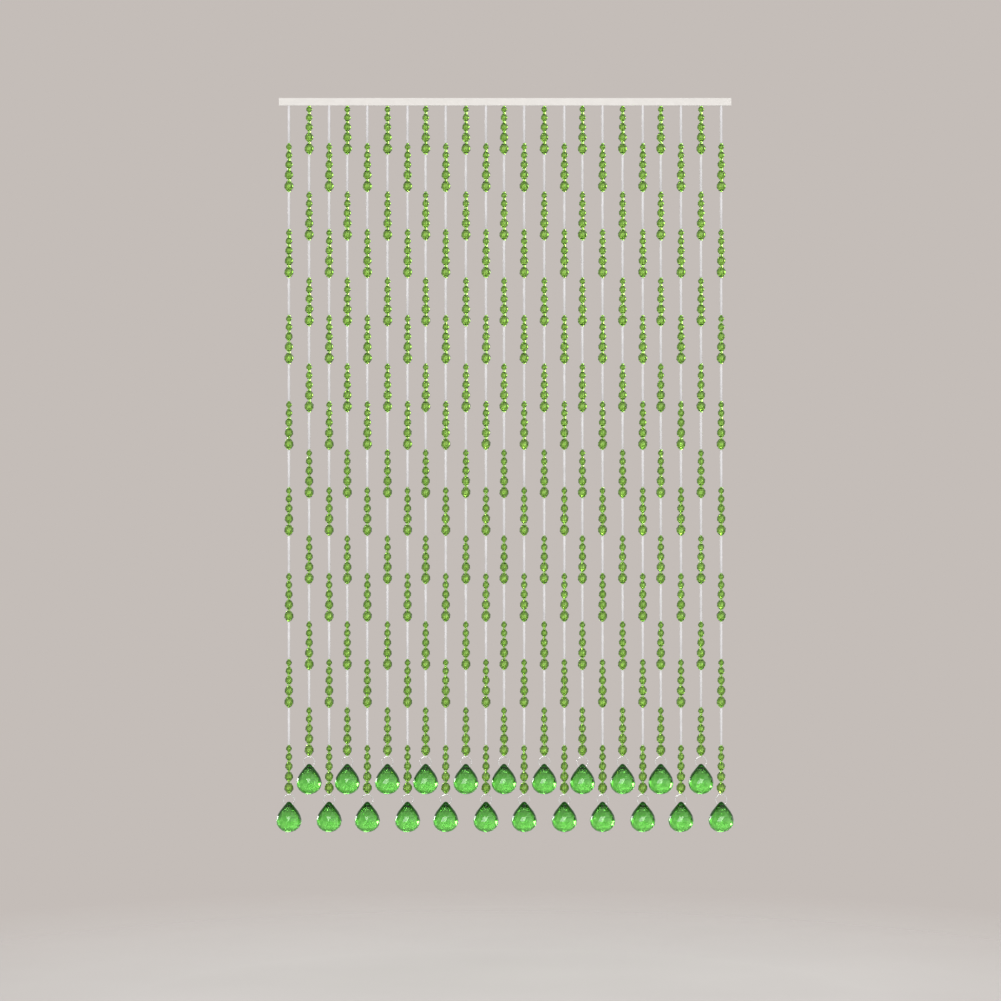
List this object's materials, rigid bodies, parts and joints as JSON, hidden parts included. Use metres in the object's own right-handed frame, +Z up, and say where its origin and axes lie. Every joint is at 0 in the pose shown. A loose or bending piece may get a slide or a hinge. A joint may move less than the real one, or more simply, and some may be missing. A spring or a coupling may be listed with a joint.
{
  "type": "bead curtain",
  "caption": "Doorway curtain of hanging strands with groups of clear green faceted beads, white tubes between them, and a large faceted drop on a ring at the foot of each strand.",
  "frame": {"origin": "middle of the heading's top edge, between its two tapes, where the lintel or track holds the curtain", "axes": "+Z up along the hanging strands, +X along the heading to the right as seen from the front, -Y towards the viewer, so the curtain hangs in the XZ plane"},
  "size_m": [0.911, 0.0542, 1.4595],
  "materials": {
    "bead_green": "clear yellow-green acrylic, cut in facets and polished",
    "drop_green": "clear grass-green acrylic, cut in facets and polished",
    "tube_white": "smooth white plastic tube",
    "cord_white": "thin twisted white cord",
    "tape_white": "plain woven off-white tape",
    "ring_wire": "thin bright plated wire"
  },
  "bodies": {
    "root": {"long_strands": "bead_green", "short_strands": "bead_green", "ring_01": "ring_wire", "drop_01": "drop_green", "ring_02": "ring_wire", "drop_02": "drop_green", "ring_03": "ring_wire", "drop_03": "drop_green", "ring_04": "ring_wire", "drop_04": "drop_green", "ring_05": "ring_wire", "drop_05": "drop_green", "ring_06": "ring_wire", "drop_06": "drop_green", "ring_07": "ring_wire", "drop_07": "drop_green", "ring_08": "ring_wire", "drop_08": "drop_green", "ring_09": "ring_wire", "drop_09": "drop_green", "ring_10": "ring_wire", "drop_10": "drop_green", "ring_11": "ring_wire", "drop_11": "drop_green", "ring_12": "ring_wire", "drop_12": "drop_green", "ring_13": "ring_wire", "drop_13": "drop_green", "ring_14": "ring_wire", "drop_14": "drop_green", "ring_15": "ring_wire", "drop_15": "drop_green", "ring_16": "ring_wire", "drop_16": "drop_green", "ring_17": "ring_wire", "drop_17": "drop_green", "ring_18": "ring_wire", "drop_18": "drop_green", "ring_19": "ring_wire", "drop_19": "drop_green", "ring_20": "ring_wire", "drop_20": "drop_green", "ring_21": "ring_wire", "drop_21": "drop_green", "ring_22": "ring_wire", "drop_22": "drop_green", "ring_23": "ring_wire", "drop_23": "drop_green"}
  },
  "joints": []
}
